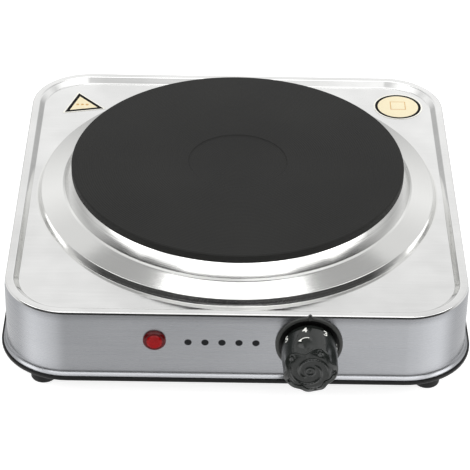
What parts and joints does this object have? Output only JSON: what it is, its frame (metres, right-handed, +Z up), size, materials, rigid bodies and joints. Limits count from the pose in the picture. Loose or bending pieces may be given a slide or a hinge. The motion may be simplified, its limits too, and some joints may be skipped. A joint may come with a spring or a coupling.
{
  "type": "hot plate burner",
  "caption": "Square stainless tabletop cooker with one round cast-iron plate in a raised rim, a front control knob, a red lamp and rubber feet.",
  "frame": {"origin": "centre of the whole object's footprint, on the surface the feet stand on", "axes": "+Z up, front with the knob towards -Y, +X to the right seen from the front"},
  "size_m": [0.251, 0.281, 0.0705],
  "materials": {
    "stainless": "horizontally brushed satin stainless steel",
    "polished_stainless": "polished stainless steel",
    "black_enamel": "black stove enamel on steel",
    "rubber": "black moulded rubber",
    "zinc_steel": "zinc-plated steel",
    "cast_iron": "black heat-resistant coating on turned cast iron",
    "fibre": "pressed mineral fibre",
    "resistance_wire": "oxidised nickel-chrome",
    "magnesia": "chalky magnesia cement",
    "aluminised_steel": "aluminised sheet steel",
    "ceramic": "glazed steatite",
    "brass": "bright turned brass",
    "bimetal": "rolled bimetal",
    "silver_contact": "silver contact rivet",
    "black_bakelite": "black moulded phenolic, satin",
    "dark_bezel": "dark grey moulded phenolic",
    "red_lens": "translucent red polycarbonate",
    "bulb_glass": "clear glass",
    "label_cream": "laminated vinyl label",
    "black_nylon": "black moulded nylon",
    "white_nylon": "natural nylon",
    "brown_sleeve": "brown silicone sleeve",
    "blue_sleeve": "blue silicone sleeve",
    "earth_sleeve": "green and yellow silicone sleeve"
  },
  "bodies": {
    "housing": {"housing_shell": "stainless", "spill_ring": "polished_stainless", "base_pan": "black_enamel", "foot_front_left": "rubber", "foot_front_right": "rubber", "foot_rear_left": "rubber", "foot_rear_right": "rubber", "foot_screws": "zinc_steel", "corner_posts": "zinc_steel", "plate_stud": "zinc_steel", "clamp_bar": "zinc_steel", "clamp_washer": "zinc_steel", "clamp_nut": "zinc_steel", "thermostat_frame": "zinc_steel", "thermostat_rivet": "zinc_steel", "lamp_clip": "zinc_steel", "terminal_screws": "zinc_steel", "earth_tab": "zinc_steel", "earth_screw": "zinc_steel", "hot_plate": "cast_iron", "plate_gasket": "fibre", "heating_coils": "resistance_wire", "element_terminals": "resistance_wire", "magnesia_fill": "magnesia", "element_cover": "aluminised_steel", "heat_shield": "aluminised_steel", "terminal_insulator": "ceramic", "thermostat_insulators": "ceramic", "thermostat_bush": "brass", "thermostat_nut": "brass", "contact_blades": "brass", "bimetal_strip": "bimetal", "contact_tips": "silver_contact", "knob_bezel": "dark_bezel", "lamp_lens": "red_lens", "neon_bulb": "bulb_glass", "round_label": "label_cream", "triangle_label": "label_cream", "cord_gland": "black_nylon", "gland_nut": "black_nylon", "supply_terminal_block": "white_nylon", "live_lead": "brown_sleeve", "switched_lead": "brown_sleeve", "lamp_live_lead": "brown_sleeve", "neutral_lead": "blue_sleeve", "lamp_neutral_lead": "blue_sleeve", "earth_lead": "earth_sleeve"},
    "knob": {"control_knob": "black_bakelite", "thermostat_spindle": "zinc_steel", "knob_spring_clip": "zinc_steel"}
  },
  "joints": [
    {"name": "knob_turn", "type": "hinge", "parent": "housing", "child": "knob", "pos_m": [0.0377, -0.1165, 0.0365], "axis": [0, -1, 0], "range_deg": [-56, 167]}
  ]
}
